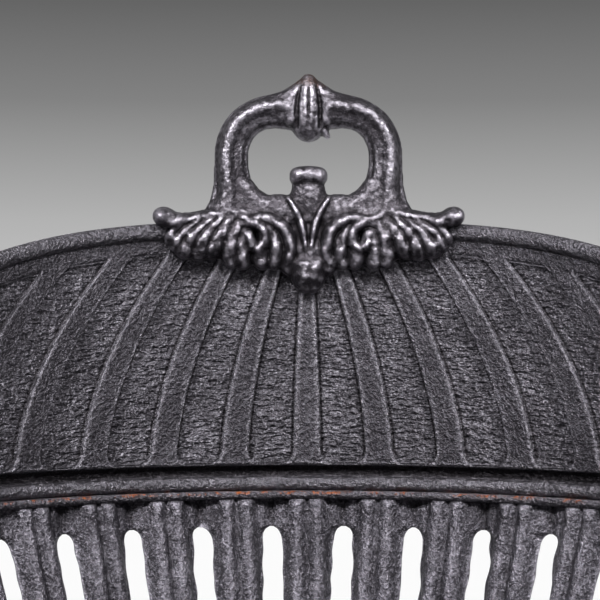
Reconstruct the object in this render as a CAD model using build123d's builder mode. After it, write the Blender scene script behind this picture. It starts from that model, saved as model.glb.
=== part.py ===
from build123d import *
import math
import os

# Driving dimensions, in millimetres and degrees

# Plan: a half-round back and a bowed front, about one upright axis
shell_radius = 190.0          # concave face of the fan, from the axis
flange_reach = 13.0           # grate flange, out beyond the shell radius
bow_depth = 92.0              # inner face of the gallery's top, in front of the axis
bowl_taper = 20.0             # how far the bowl's walls lean in

# Heights
leg_height = 58.0             # floor to the underside of the bowl
bowl_height = 104.0           # underside of the bowl to the joint under the shell
gallery_drop = 24.0           # top of the front gallery, below that joint

# Shell back
shell_thickness = 6.5
rim_top = 131.0               # top of the rim at the middle, above the joint
rim_end = 24.0                # top of the rim at its two front ends
rim_power = 2.75              # how late the rim starts to fall away
bead_radius = 4.2
bead_start = 21.5             # the crest covers the rim out to this bearing
rim_border = 7.0              # plain band between the bead and the panels
rail_radius = 3.2             # round rail along the foot
cove_height = 6.0
foot_thickness = 12.0
end_post_radius = 6.0

# Fan pattern
rib_pitch = 10.6
rib_count = 17
rib_width = 13.0              # at its foot; it narrows as the ribs draw together
rib_fall = 132.6              # height over which the first rib would reach the middle
rib_spread = 0.24             # how much taller that is for each rib further out
rib_power = 1.7
panel_depth = 2.8
panel_corner = 6.5
panel_lip = 1.6               # flat left between the cove and the panels

# Crest
loop_width = 77.0             # between the middles of the two arms
loop_rise = 46.0              # from the saddle to the corner of the arch's centre line
loop_shoulder = 16.0
arm_flare = 1.3               # swelling at the foot of each arm
arm_radius = 7.4
boss_radius = 10.5
boss_width = 12.0             # half of it is the tall middle collar
collar_step = 2.0             # the side collars are that much smaller in radius
drop_radius = 7.0
button_radius = 9.8
neck_radius = 6.5
neck_height = 6.0
button_height = 6.5
crest_thickness = 8.0
saddle_rise = 13.0            # top of the saddle, above the rim
saddle_width = 98.0
curl_radius = 7.5
curl_reach = 67.0             # middle of each curled tip, from the centre
leaf_half_width = 66.0
lobe_radius = 12.0
lobe_shares = (0.80, 0.51, 0.21)    # lobes along the leaf's half width
lobe_drops = (7.0, 11.0, 16.0)       # their middles, below the rim
tongue_drop = 34.0            # tip of the middle tongue, below the rim
screw_spread = 13.0           # crest screws, either side of the middle
screw_drop = 18.0             # and below the rim
crest_bite = 5.0              # depth of their thread in the crest
screw_boss_radius = 7.0
screw_boss_proud = 1.0

# Bowl castings
wall_thickness = 5.0
flange_thickness = 4.0
flange_lip = 6.0              # its inner edge, inside the shell radius
reed_radius = 3.6
reed_split = 1.45             # each reed's bearing from the middle of its bar
slot_width = 9.5
slot_start = 17.0             # top of the slots, below the joint
slot_end_rise = 14.0          # foot of the slots, above the ledge
ledge_width = 12.0
ledge_height = 8.0
lug_width = 15.0
lug_thickness = 6.0
lug_root = 1.0                # lugs start that far inside the walls
gallery_bars = 11
gallery_rail = 8.0
gallery_rail_proud = 3.0
gallery_slot_start = 6.0      # top of its slots, below its rail
lug_bolt_inset = 18.0         # side bolts, from the ends of their lugs

# Bottom grate
grate_thickness = 8.0
grate_clearance = 2.0
grate_slot_width = 8.0
grate_slot_pitch = 18.0
grate_margin = 14.0

# Legs
leg_pad_radius = 11.0
leg_pad_thickness = 6.0
leg_knee_radius = 10.0
leg_ankle_radius = 6.0
leg_foot_radius = 11.0
leg_kick = 12.0               # how far each foot stands outside its pad
rear_leg_bearing = 25.0
front_leg_place = 0.74        # along the half bow, from the middle to the lug

# Ash pan and its runners
pan_half_width = 76.0
pan_length = 160.0
pan_depth = 31.0
pan_front_place = 52.0        # pan's front face, in front of the axis
sheet = 1.5
pan_flange = 10.0
runner_thickness = 2.0
runner_drop = 12.0
runner_lip = 10.0
runner_flange = 14.0
runner_overhang = 8.0
knob_radius = 8.0
knob_length = 17.0
knob_neck_radius = 3.5
knob_collar_radius = 5.6

# Fasteners
bolt_radius = 3.0
bolt_head = 10.0
bolt_head_height = 4.5
nut_height = 5.0
washer_radius = 7.0
washer_thickness = 1.2
bolt_tail = 2.0
screw_radius = 2.5
screw_head_radius = 5.0
screw_head_height = 2.5
screw_length = 18.0
small_nut = 8.0
small_nut_height = 4.0
peg_radius = 2.5
peg_length = 9.0
peg_bearing = 62.0

# Clearances
hole_clearance = 0.3
thread_clearance = 0.05
seat_gap = 0.3
slide_gap = 0.3
pan_side_gap = 2.0

# Derived levels and radii
joint_z = leg_height + bowl_height
gallery_z = joint_z - gallery_drop
ledge_z = leg_height + ledge_height
taper = math.tan(math.radians(bowl_taper))
flange_radius = shell_radius + flange_reach
boss_reach = shell_radius + shell_thickness + screw_boss_proud
beyond = flange_radius + flange_reach
front_reach = bow_depth + wall_thickness + gallery_rail_proud
axis_y = (front_reach - flange_radius) / 2
fan_base = 2 * rail_radius + cove_height
panel_base = fan_base + panel_lip
panel_top_drop = 2 * bead_radius + rim_border
fan_half_turn = 90.0
rib_reach = (rib_count - 1) // 2
rib_share = rib_width / (shell_radius * math.radians(rib_pitch))
bead_depth = bead_radius / 4
upright_axis = Axis((0, axis_y, 0), (0, 0, 1))
os.makedirs("parts", exist_ok=True)


def at_bearing(bearing, radius, height):
    """The point at this bearing from straight back, round the upright axis."""
    turn = math.radians(bearing)
    return Vector(radius * math.sin(turn), axis_y + radius * math.cos(turn), height)


def facing_plane(bearing, radius, height=0.0):
    """An upright plane at that bearing: x round the basket, y up, z towards the axis."""
    turn = math.radians(bearing)
    return Plane(
        origin=at_bearing(bearing, radius, height),
        x_dir=(math.cos(turn), -math.sin(turn), 0),
        z_dir=(-math.sin(turn), -math.cos(turn), 0),
    )


def section_plane():
    """The upright plane through the axis: x to the right, y up."""
    return Plane(origin=(0, axis_y, 0), x_dir=(1, 0, 0), z_dir=(0, -1, 0))


def bar_plane(top, bottom, outward):
    """A plane halfway down a leaning bar: y up the bar, z outward through the wall."""
    up = (top - bottom).normalized()
    across = up.cross(outward).normalized()
    return Plane(origin=(top + bottom) / 2, x_dir=across, z_dir=across.cross(up))


def rim_height(bearing):
    """Top of the rim above the joint."""
    fall = (abs(bearing) / fan_half_turn) ** rim_power
    return rim_end + (rim_top - rim_end) * (1 - fall)


def rib_bearing(index, height):
    """Bearing of a rib's centre line at a height above the joint."""
    if index == 0:
        return 0.0
    climb = max(0.0, height - fan_base) / (rib_fall * index**rib_spread)
    return rib_pitch * index * (1 - climb**rib_power)


def panel_side(index, side, height):
    """Bearing of one edge of a rib: side -1 is towards the middle, +1 is outwards."""
    middle = rib_bearing(index, height)
    return middle + (rib_bearing(index + side, height) - middle) * rib_share / 2


def panel_corner_height(index, side):
    """Height at which that edge of a rib meets the plain border under the rim."""
    low = panel_base
    high = rim_top
    for _ in range(40):
        middle = (low + high) / 2
        if middle < rim_height(panel_side(index, side, middle)) - panel_top_drop:
            low = middle
        else:
            high = middle
    return low


def bowl_inner(height):
    """Inner face of the half-round bowl at a height above the floor."""
    return shell_radius - (joint_z - height) * taper


def bow_arc(half_width, depth):
    """Radius and centre of the arc that bows to depth between two side points."""
    radius = (half_width**2 + depth**2) / (2 * depth)
    return radius, radius - depth


def gallery_arc(height):
    """Radius and centre, from the axis, of the gallery's inner face at a height."""
    depth = bow_depth - (gallery_z - height) * taper
    return bow_arc(bowl_inner(height), depth)


def gallery_point(share, height, outward=0.0):
    """A point on the gallery: share runs from -1 at the left lug to 1 at the right."""
    radius, centre = gallery_arc(height)
    turn = share * math.asin(bowl_inner(height) / radius)
    reach = radius + outward
    return Vector(reach * math.sin(turn), axis_y + centre - reach * math.cos(turn), height)


def gallery_outward(share, height):
    """The outward direction there."""
    return (gallery_point(share, height, 1.0) - gallery_point(share, height)).normalized()


def bow_points(height, inner_offset, outer_offset):
    """Six points round a bowed band: three along its inner arc and three back."""
    radius, centre = gallery_arc(height)
    inner = radius + inner_offset
    outer = radius + outer_offset
    inner_side = math.sqrt(inner**2 - centre**2)
    outer_side = math.sqrt(outer**2 - centre**2)
    return (
        (-inner_side, axis_y),
        (0, axis_y + centre - inner),
        (inner_side, axis_y),
        (outer_side, axis_y),
        (0, axis_y + centre - outer),
        (-outer_side, axis_y),
    )


def screw_plane(hand, depth):
    """The plane across a crest screw, looking out of the basket's back."""
    origin = (hand * screw_spread, axis_y + depth, joint_z + rim_top - screw_drop)
    return Plane(origin=origin, x_dir=(1, 0, 0), z_dir=(0, 1, 0))


def lug_plane(x, z, depth):
    """The plane across a side bolt, looking towards the basket's back."""
    return Plane(origin=(x, axis_y + depth, z), x_dir=(1, 0, 0), z_dir=(0, 1, 0))


def screw_mouths(places):
    """Where the countersunk screws enter the top of a ledge."""
    return [Location((place.X, place.Y, ledge_z)) for place in places]


# Places of the side bolts, the legs and the screws down through the ledges
lug_bolts = []
for hand in (-1, 1):
    for z in (leg_height + lug_bolt_inset, gallery_z - lug_bolt_inset):
        lug_bolts.append((hand * (bowl_inner(z) + wall_thickness + lug_width / 2), z))
screw_ring = bowl_inner(leg_height) - ledge_width / 2
runner_x = pan_half_width + pan_flange + pan_side_gap
runner_screw_x = runner_x + (runner_thickness + runner_flange) / 2
bow_radius, bow_centre = gallery_arc(leg_height)
bow_screw_radius = bow_radius - ledge_width / 2
runner_back_y = axis_y + math.sqrt(screw_ring**2 - runner_screw_x**2)
runner_front_y = axis_y + bow_centre - math.sqrt(bow_screw_radius**2 - runner_screw_x**2)
leg_places = []
leg_directions = []
for hand in (-1, 1):
    bearing = hand * rear_leg_bearing
    leg_places.append(at_bearing(bearing, screw_ring, leg_height))
    leg_directions.append(at_bearing(bearing, 1, 0) - at_bearing(bearing, 0, 0))
for hand in (-1, 1):
    share = hand * front_leg_place
    leg_places.append(gallery_point(share, leg_height, -ledge_width / 2))
    leg_directions.append(gallery_outward(share, leg_height))
rear_screws = leg_places[:2] + [
    Vector(hand * runner_screw_x, runner_back_y, leg_height) for hand in (-1, 1)
]
front_screws = leg_places[2:] + [
    Vector(hand * runner_screw_x, runner_front_y, leg_height) for hand in (-1, 1)
]
slot_top_z = joint_z - slot_start
slot_end_z = ledge_z + slot_end_rise
peg_circle = shell_radius + (foot_thickness - rail_radius) / 2

# Fan panels: pockets sunk into the concave face between the ribs
with BuildPart() as panels:
    for index in range(rib_reach):
        inner_top = panel_corner_height(index, 1)
        outer_top = panel_corner_height(index + 1, -1)
        middle = rib_pitch * (index + 0.5)

        def on_panel(bearing, height):
            turn = math.radians(bearing - middle)
            return (shell_radius * math.sin(turn), joint_z + height)

        inner_side = []
        outer_side = []
        for step in range(4):
            share = step / 3
            height = panel_base + share * (inner_top - panel_base)
            inner_side.append(on_panel(panel_side(index, 1, height), height))
            height = panel_base + share * (outer_top - panel_base)
            outer_side.append(on_panel(panel_side(index + 1, -1, height), height))
        top_bearing = (panel_side(index, 1, inner_top) + panel_side(index + 1, -1, outer_top)) / 2
        top_middle = on_panel(top_bearing, rim_height(top_bearing) - panel_top_drop)
        with BuildSketch(facing_plane(middle, shell_radius)) as outline:
            with BuildLine():
                Spline(*inner_side)
                ThreePointArc(inner_side[-1], top_middle, outer_side[-1])
                Spline(*reversed(outer_side))
                Line(outer_side[0], inner_side[0])
            make_face()
            fillet(outline.vertices().group_by(Axis.Y)[0], panel_corner)
        extrude(amount=shell_thickness, both=True)
    with BuildSketch(Plane.XY.offset(joint_z)):
        with Locations((0, axis_y)):
            Circle(shell_radius + panel_depth)
            Circle(shell_radius - shell_thickness / 2, mode=Mode.SUBTRACT)
    extrude(amount=rim_top, mode=Mode.INTERSECT)
    mirror(about=Plane.YZ)

# Shell back: half-round plate, cut to the arch of its rim
with BuildPart() as shell_back:
    with BuildSketch(Plane.XY.offset(joint_z + fan_base)):
        with BuildLine():
            CenterArc((0, axis_y), shell_radius, 0, 180)
            CenterArc((0, axis_y), shell_radius + shell_thickness, 0, 180)
            Line((shell_radius, axis_y), (shell_radius + shell_thickness, axis_y))
            Line((-shell_radius, axis_y), (-shell_radius - shell_thickness, axis_y))
        make_face()
    extrude(amount=rim_top)
    arch = []
    for step in range(24):
        bearing = fan_half_turn * (1 - step / 23)
        depth = (shell_radius + shell_thickness / 2) * math.cos(math.radians(bearing))
        arch.append((axis_y + depth, joint_z + rim_height(bearing) - bead_radius / 2))
    with BuildSketch(Plane.YZ):
        with BuildLine():
            Spline(*arch)
            Polyline(
                arch[-1],
                (axis_y + beyond, arch[-1][1]),
                (axis_y + beyond, joint_z),
                (axis_y, joint_z),
                arch[0],
            )
        make_face()
    extrude(amount=beyond, both=True, mode=Mode.INTERSECT)
    with BuildSketch(section_plane()):
        with BuildLine():
            back = shell_radius + foot_thickness - rail_radius
            Polyline(
                (shell_radius, joint_z + fan_base),
                (shell_radius + shell_thickness, joint_z + fan_base),
                (back, joint_z + 2 * rail_radius),
                (back, joint_z),
                (shell_radius - rail_radius / 2, joint_z),
            )
            ThreePointArc(
                (shell_radius - rail_radius / 2, joint_z),
                (shell_radius - 1.5 * rail_radius, joint_z + rail_radius),
                (shell_radius - rail_radius / 2, joint_z + 2 * rail_radius),
            )
            ThreePointArc(
                (shell_radius - rail_radius / 2, joint_z + 2 * rail_radius),
                (shell_radius + rail_radius / 2, joint_z + 2 * rail_radius + cove_height / 2),
                (shell_radius, joint_z + fan_base),
            )
        make_face()
    revolve(axis=upright_axis, revolution_arc=180)
    add(panels.part, mode=Mode.SUBTRACT)
    for hand in (-1, 1):
        bead = []
        for step in range(9):
            bearing = hand * (bead_start + step * (fan_half_turn - 2 - bead_start) / 8)
            height = joint_z + rim_height(bearing) - bead_radius
            bead.append(at_bearing(bearing, shell_radius + bead_depth, height))
        with BuildLine():
            rim_line = Spline(*bead)
        with BuildSketch(Plane(origin=rim_line @ 0, z_dir=rim_line % 0)):
            Circle(bead_radius)
        sweep(path=rim_line)
    post_radius = shell_radius + shell_thickness / 2
    post_bearing = fan_half_turn - math.degrees(end_post_radius / post_radius)
    for hand in (-1, 1):
        post = at_bearing(hand * post_bearing, post_radius, joint_z)
        with BuildSketch(Plane(origin=post)):
            Circle(end_post_radius)
        extrude(amount=rim_end)
        with Locations(post + Vector(0, 0, rim_end)):
            Sphere(end_post_radius)
    for bearing in (-peg_bearing, 0, peg_bearing):
        with Locations(Location(at_bearing(bearing, peg_circle, joint_z))):
            Cylinder(
                peg_radius + hole_clearance,
                2 * (peg_length - flange_thickness + hole_clearance),
                mode=Mode.SUBTRACT,
            )
    for hand in (-1, 1):
        with BuildSketch(screw_plane(hand, shell_radius + shell_thickness / 2)):
            Circle(screw_boss_radius)
        extrude(amount=boss_reach - shell_radius - shell_thickness / 2)
        with BuildSketch(screw_plane(hand, 0)):
            Circle(screw_radius + hole_clearance)
        extrude(amount=beyond, mode=Mode.SUBTRACT)
shell_back.part.label = "shell_back"
export_step(shell_back.part, "parts/shell_back.step")

# Crest: leaf mount, saddle, loop handle and button, one casting
crest_y = axis_y + shell_radius - bead_depth
saddle_z = joint_z + rim_top + saddle_rise
shell_edge_z = joint_z + rim_top - bead_radius / 2
leaf_z = joint_z + rim_top + arm_radius / 2
arch_z = saddle_z + loop_rise
with BuildPart() as crest_handle:
    with BuildSketch(section_plane()):
        inner_x = leaf_half_width - lobe_radius / 2
        Polygon(
            (-leaf_half_width, leaf_z),
            (-inner_x, joint_z + rim_top - lobe_radius),
            (0, joint_z + rim_top - tongue_drop + lobe_radius),
            (inner_x, joint_z + rim_top - lobe_radius),
            (leaf_half_width, leaf_z),
            (saddle_width / 2, saddle_z),
            (-saddle_width / 2, saddle_z),
            align=None,
        )
        for share, drop in zip(lobe_shares, lobe_drops):
            with Locations(
                (-share * leaf_half_width, joint_z + rim_top - drop),
                (share * leaf_half_width, joint_z + rim_top - drop),
            ):
                Circle(lobe_radius)
        with Locations((0, joint_z + rim_top - tongue_drop + lobe_radius)):
            Ellipse(lobe_radius / 2, lobe_radius)
    extrude(amount=-beyond)
    with BuildSketch(Plane.XY.offset(joint_z)):
        with Locations((0, axis_y)):
            Circle(shell_radius - seat_gap)
            Circle(shell_radius - crest_thickness, mode=Mode.SUBTRACT)
    extrude(amount=2 * rim_top, mode=Mode.INTERSECT)
    saddle_face = Plane(origin=(0, crest_y - arm_radius, 0), x_dir=(1, 0, 0), z_dir=(0, -1, 0))
    with BuildSketch(saddle_face):
        foot_x = saddle_width / 2 + arm_radius / 2
        Polygon(
            (-foot_x, shell_edge_z + seat_gap),
            (foot_x, shell_edge_z + seat_gap),
            (saddle_width / 2, saddle_z),
            (-saddle_width / 2, saddle_z),
            align=None,
        )
    extrude(amount=-2 * arm_radius)
    arm_x = loop_width / 2
    shoulder_z = arch_z - arm_radius
    loop_plane = Plane(origin=(0, crest_y, 0), x_dir=(1, 0, 0), z_dir=(0, -1, 0))
    with BuildLine(loop_plane) as loop_line:
        FilletPolyline(
            (-arm_x, saddle_z - arm_radius),
            (-arm_x, shoulder_z),
            (0, arch_z),
            (arm_x, shoulder_z),
            (arm_x, saddle_z - arm_radius),
            radius=[loop_shoulder, loop_shoulder, loop_shoulder],
        )
    with BuildSketch(Plane(origin=loop_line.line @ 0, z_dir=loop_line.line % 0)):
        Circle(arm_radius)
    sweep(path=loop_line.line)
    arch_crown = (loop_line.line @ 0.5).Z
    for collar, reach in ((boss_radius, boss_width / 2), (boss_radius - collar_step, boss_width)):
        across = Plane(origin=(-reach, crest_y, arch_crown), x_dir=(0, 1, 0), z_dir=(1, 0, 0))
        with BuildSketch(across):
            Circle(collar)
        extrude(amount=2 * reach)
    with Locations((0, crest_y, arch_crown - boss_radius), (0, crest_y, arch_crown + boss_radius)):
        Sphere(drop_radius)
    with Locations((arm_x, crest_y, saddle_z), (-arm_x, crest_y, saddle_z)):
        Sphere(arm_radius * arm_flare)
    with BuildSketch(Plane(origin=(0, crest_y, saddle_z - neck_radius))):
        Circle(neck_radius)
    extrude(amount=neck_radius + neck_height)
    with BuildSketch(Plane(origin=(0, crest_y, saddle_z + neck_height))):
        Circle(button_radius - button_height / 2)
    extrude(amount=button_height)
    with Locations((0, crest_y, saddle_z + neck_height + button_height / 2)):
        Torus(button_radius - button_height / 2, button_height / 2)
    curl_inset = bead_radius - bead_depth + seat_gap + curl_radius
    curl_bearing = math.degrees(math.asin(curl_reach / (shell_radius - curl_inset)))
    for hand in (-1, 1):
        with Locations(at_bearing(hand * curl_bearing, shell_radius - curl_inset, leaf_z)):
            Sphere(curl_radius)
    for hand in (-1, 1):
        with BuildSketch(screw_plane(hand, shell_radius - seat_gap - crest_bite)):
            Circle(screw_radius + thread_clearance)
        extrude(amount=2 * crest_bite, mode=Mode.SUBTRACT)
crest_handle.part.label = "crest_handle"
export_step(crest_handle.part, "parts/crest_handle.step")

# Crest screws, from behind
with BuildPart() as crest_screws:
    for hand in (-1, 1):
        with BuildSketch(screw_plane(hand, boss_reach)):
            Circle(screw_head_radius)
        extrude(amount=screw_head_height)
        with BuildSketch(screw_plane(hand, boss_reach)):
            Circle(screw_radius)
        extrude(amount=-(boss_reach - shell_radius + crest_bite))
crest_screws.part.label = "crest_screws"
export_step(crest_screws.part, "parts/crest_screws.step")

# Rear grate: half-round slotted wall with its flange, ledge and side lugs
ledge_radius = bowl_inner(leg_height) - ledge_width
with BuildPart() as rear_grate:
    with BuildSketch(section_plane()):
        lip = shell_radius - flange_lip
        Polygon(
            (ledge_radius, leg_height),
            (bowl_inner(leg_height) + wall_thickness, leg_height),
            (bowl_inner(joint_z - flange_thickness) + wall_thickness, joint_z - flange_thickness),
            (flange_radius, joint_z - flange_thickness),
            (flange_radius, joint_z),
            (lip, joint_z),
            (lip, joint_z - flange_thickness),
            (bowl_inner(joint_z - flange_thickness), joint_z - flange_thickness),
            (bowl_inner(ledge_z), ledge_z),
            (ledge_radius, ledge_z),
            align=None,
        )
    revolve(axis=upright_axis, revolution_arc=180)
    for index in range(-rib_reach, rib_reach + 1):
        for hand in (-1, 1):
            bearing = index * rib_pitch + hand * reed_split
            reed_top = joint_z - flange_thickness / 2
            reed_foot = ledge_z - ledge_height / 2
            top = at_bearing(bearing, bowl_inner(reed_top), reed_top)
            foot = at_bearing(bearing, bowl_inner(reed_foot), reed_foot)
            with BuildSketch(Plane(origin=foot, z_dir=top - foot)):
                Circle(reed_radius)
            extrude(amount=(top - foot).length)
    for index in range(-rib_reach, rib_reach):
        bearing = (index + 0.5) * rib_pitch
        top = at_bearing(bearing, bowl_inner(slot_top_z), slot_top_z)
        foot = at_bearing(bearing, bowl_inner(slot_end_z), slot_end_z)
        outward = at_bearing(bearing, 1, 0) - at_bearing(bearing, 0, 0)
        with BuildSketch(bar_plane(top, foot, outward)):
            SlotOverall((top - foot).length, slot_width, rotation=90)
        extrude(amount=wall_thickness + 2 * reed_radius, both=True, mode=Mode.SUBTRACT)
    with BuildSketch(section_plane()):
        for hand in (-1, 1):
            Polygon(
                (hand * (bowl_inner(leg_height) + lug_root), leg_height),
                (hand * (bowl_inner(leg_height) + wall_thickness + lug_width), leg_height),
                (hand * (bowl_inner(gallery_z) + wall_thickness + lug_width), gallery_z),
                (hand * (bowl_inner(gallery_z) + lug_root), gallery_z),
                align=None,
            )
    extrude(amount=-lug_thickness)
    with BuildSketch(section_plane()):
        with Locations(*lug_bolts):
            Circle(bolt_radius + hole_clearance)
    extrude(amount=-beyond, mode=Mode.SUBTRACT)
    with Locations(*screw_mouths(rear_screws)):
        CounterSinkHole(
            screw_radius + hole_clearance,
            screw_head_radius + hole_clearance,
            ledge_height,
            counter_sink_angle=90,
        )
    for bearing in (-peg_bearing, 0, peg_bearing):
        with Locations(Location(at_bearing(bearing, peg_circle, joint_z))):
            Cylinder(peg_radius, 4 * flange_thickness, mode=Mode.SUBTRACT)
rear_grate.part.label = "rear_grate"
export_step(rear_grate.part, "parts/rear_grate.step")

# Pegs that locate the shell on the flange
with BuildPart() as locating_pegs:
    for bearing in (-peg_bearing, 0, peg_bearing):
        with BuildSketch(Plane(origin=at_bearing(bearing, peg_circle, joint_z - flange_thickness))):
            Circle(peg_radius)
        extrude(amount=peg_length)
locating_pegs.part.label = "locating_pegs"
export_step(locating_pegs.part, "parts/locating_pegs.step")

# Front gallery: bowed slotted wall with its rail, ledge and side lugs
with BuildPart() as front_gallery:
    for level in (leg_height, gallery_z):
        points = bow_points(level, 0, wall_thickness)
        with BuildSketch(Plane.XY.offset(level)):
            with BuildLine():
                ThreePointArc(*points[:3])
                Line(points[2], points[3])
                ThreePointArc(*points[3:])
                Line(points[5], points[0])
            make_face()
    loft(ruled=True)
    rail_proud = wall_thickness + gallery_rail_proud
    rail_points = bow_points(gallery_z, -gallery_rail_proud, rail_proud)
    ledge_points = bow_points(leg_height, -ledge_width, wall_thickness)
    for level, points, height in (
        (gallery_z - gallery_rail, rail_points, gallery_rail),
        (leg_height, ledge_points, ledge_height),
    ):
        with BuildSketch(Plane.XY.offset(level)):
            with BuildLine():
                ThreePointArc(*points[:3])
                Line(points[2], points[3])
                ThreePointArc(*points[3:])
                Line(points[5], points[0])
            make_face()
        extrude(amount=height)
    bar_reach = (gallery_bars - 1) // 2
    bar_share = 2 / gallery_bars
    for index in range(-bar_reach, bar_reach + 1):
        for hand in (-1, 1):
            share = (index + hand * reed_split / rib_pitch) * bar_share
            top = gallery_point(share, gallery_z - gallery_rail / 2, wall_thickness)
            foot = gallery_point(share, leg_height, wall_thickness)
            with BuildSketch(Plane(origin=foot, z_dir=top - foot)):
                Circle(reed_radius)
            extrude(amount=(top - foot).length)
    rail_slot_top = gallery_z - gallery_rail - gallery_slot_start
    for index in range(-bar_reach, bar_reach):
        share = (index + 0.5) * bar_share
        top = gallery_point(share, rail_slot_top)
        foot = gallery_point(share, slot_end_z)
        with BuildSketch(bar_plane(top, foot, gallery_outward(share, slot_end_z))):
            SlotOverall((top - foot).length, slot_width, rotation=90)
        extrude(amount=wall_thickness + 2 * reed_radius, both=True, mode=Mode.SUBTRACT)
    with BuildSketch(section_plane()):
        for hand in (-1, 1):
            Polygon(
                (hand * (bowl_inner(leg_height) + lug_root), leg_height),
                (hand * (bowl_inner(leg_height) + wall_thickness + lug_width), leg_height),
                (hand * (bowl_inner(gallery_z) + wall_thickness + lug_width), gallery_z),
                (hand * (bowl_inner(gallery_z) + lug_root), gallery_z),
                align=None,
            )
    extrude(amount=lug_thickness)
    with BuildSketch(section_plane()):
        with Locations(*lug_bolts):
            Circle(bolt_radius + hole_clearance)
    extrude(amount=beyond, mode=Mode.SUBTRACT)
    with BuildSketch(Plane.XY):
        with Locations((0, axis_y + beyond)):
            Rectangle(2 * beyond, 2 * beyond)
    extrude(amount=joint_z, mode=Mode.SUBTRACT)
    with BuildSketch(Plane.XY):
        Rectangle(2 * beyond, 4 * beyond)
    extrude(amount=leg_height, mode=Mode.SUBTRACT)
    with Locations(*screw_mouths(front_screws)):
        CounterSinkHole(
            screw_radius + hole_clearance,
            screw_head_radius + hole_clearance,
            ledge_height,
            counter_sink_angle=90,
        )
front_gallery.part.label = "front_gallery"
export_step(front_gallery.part, "parts/front_gallery.step")

# Bolts, washers and nuts through the side lugs
with BuildPart() as side_bolts:
    for x, z in lug_bolts:
        with BuildSketch(lug_plane(x, z, -lug_thickness)):
            Rectangle(bolt_head, bolt_head)
        extrude(amount=-bolt_head_height)
        with BuildSketch(lug_plane(x, z, -lug_thickness)):
            Circle(bolt_radius)
        extrude(amount=2 * lug_thickness + washer_thickness + nut_height + bolt_tail)
side_bolts.part.label = "side_bolts"
export_step(side_bolts.part, "parts/side_bolts.step")
with BuildPart() as side_washers:
    for x, z in lug_bolts:
        with BuildSketch(lug_plane(x, z, lug_thickness)):
            Circle(washer_radius)
            Circle(bolt_radius + thread_clearance, mode=Mode.SUBTRACT)
        extrude(amount=washer_thickness)
side_washers.part.label = "side_washers"
export_step(side_washers.part, "parts/side_washers.step")
with BuildPart() as side_nuts:
    for x, z in lug_bolts:
        with BuildSketch(lug_plane(x, z, lug_thickness + washer_thickness)):
            Rectangle(bolt_head, bolt_head)
            Circle(bolt_radius + thread_clearance, mode=Mode.SUBTRACT)
        extrude(amount=nut_height)
side_nuts.part.label = "side_nuts"
export_step(side_nuts.part, "parts/side_nuts.step")

# Bottom grate: a loose slotted plate on the ledges
with BuildPart() as bottom_grate:
    reed_proud = reed_radius / math.cos(math.radians(bowl_taper))
    plate_radius = bowl_inner(ledge_z) - reed_proud - grate_clearance
    plate_bow_radius, plate_bow_centre = gallery_arc(ledge_z)
    plate_depth = plate_bow_radius - plate_bow_centre - grate_clearance
    front_radius, front_centre = bow_arc(plate_radius, plate_depth)
    with BuildSketch(Plane.XY.offset(ledge_z)):
        with BuildLine():
            ThreePointArc(
                (-plate_radius, axis_y), (0, axis_y + plate_radius), (plate_radius, axis_y)
            )
            ThreePointArc(
                (plate_radius, axis_y), (0, axis_y - plate_depth), (-plate_radius, axis_y)
            )
        make_face()
    extrude(amount=grate_thickness)
    slot_columns = int((plate_radius - grate_margin) / grate_slot_pitch)
    with BuildSketch(Plane.XY.offset(ledge_z)):
        for column in range(-slot_columns, slot_columns + 1):
            x = column * grate_slot_pitch
            back_y = math.sqrt(plate_radius**2 - x**2) - grate_margin
            front_y = front_centre - math.sqrt(front_radius**2 - x**2) + grate_margin
            split_y = (back_y + front_y) / 2
            for low, high in (
                (front_y, split_y - grate_margin / 2),
                (split_y + grate_margin / 2, back_y),
            ):
                if high - low > 2 * grate_slot_width:
                    with Locations((x, axis_y + (low + high) / 2)):
                        SlotOverall(high - low, grate_slot_width, rotation=90)
    extrude(amount=grate_thickness, mode=Mode.SUBTRACT)
bottom_grate.part.label = "bottom_grate"
export_step(bottom_grate.part, "parts/bottom_grate.step")

# Four legs under the ring
leg_levels = (1.0, 0.72, 0.3, 0.1, 0.0)
leg_kicks = (0.0, 0.3, 0.45, 0.85, 1.0)
leg_radii = (
    leg_pad_radius,
    leg_knee_radius,
    leg_ankle_radius,
    (leg_ankle_radius + leg_foot_radius) / 2,
    leg_foot_radius,
)
leg_names = ("rear_left", "rear_right", "front_left", "front_right")
for name, place, outward in zip(leg_names, leg_places, leg_directions):
    with BuildPart() as leg:
        with BuildSketch(Plane(origin=(place.X, place.Y, leg_height - leg_pad_thickness))):
            Circle(leg_pad_radius)
        extrude(amount=leg_pad_thickness)
        body_height = leg_height - leg_pad_thickness
        for level, kick, radius in zip(leg_levels, leg_kicks, leg_radii):
            centre = place + outward * (leg_kick * kick)
            with BuildSketch(Plane(origin=(centre.X, centre.Y, body_height * level))):
                Circle(radius)
        loft()
        with BuildSketch(Plane(origin=(place.X, place.Y, leg_height))):
            Circle(screw_radius + thread_clearance)
        extrude(amount=-(screw_length - ledge_height + hole_clearance), mode=Mode.SUBTRACT)
    leg.part.label = "leg_" + name
    export_step(leg.part, "parts/leg_" + name + ".step")

# Screws down through the ledges, into the legs and through the runners
with BuildPart() as ledge_screws:
    for place in rear_screws + front_screws:
        with BuildSketch(Plane(origin=(place.X, place.Y, ledge_z))):
            Circle(screw_head_radius)
        with BuildSketch(Plane(origin=(place.X, place.Y, ledge_z - screw_head_height))):
            Circle(screw_radius)
        loft()
        with BuildSketch(Plane(origin=(place.X, place.Y, ledge_z - screw_head_height))):
            Circle(screw_radius)
        extrude(amount=screw_head_height - screw_length)
ledge_screws.part.label = "ledge_screws"
export_step(ledge_screws.part, "parts/ledge_screws.step")

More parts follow.
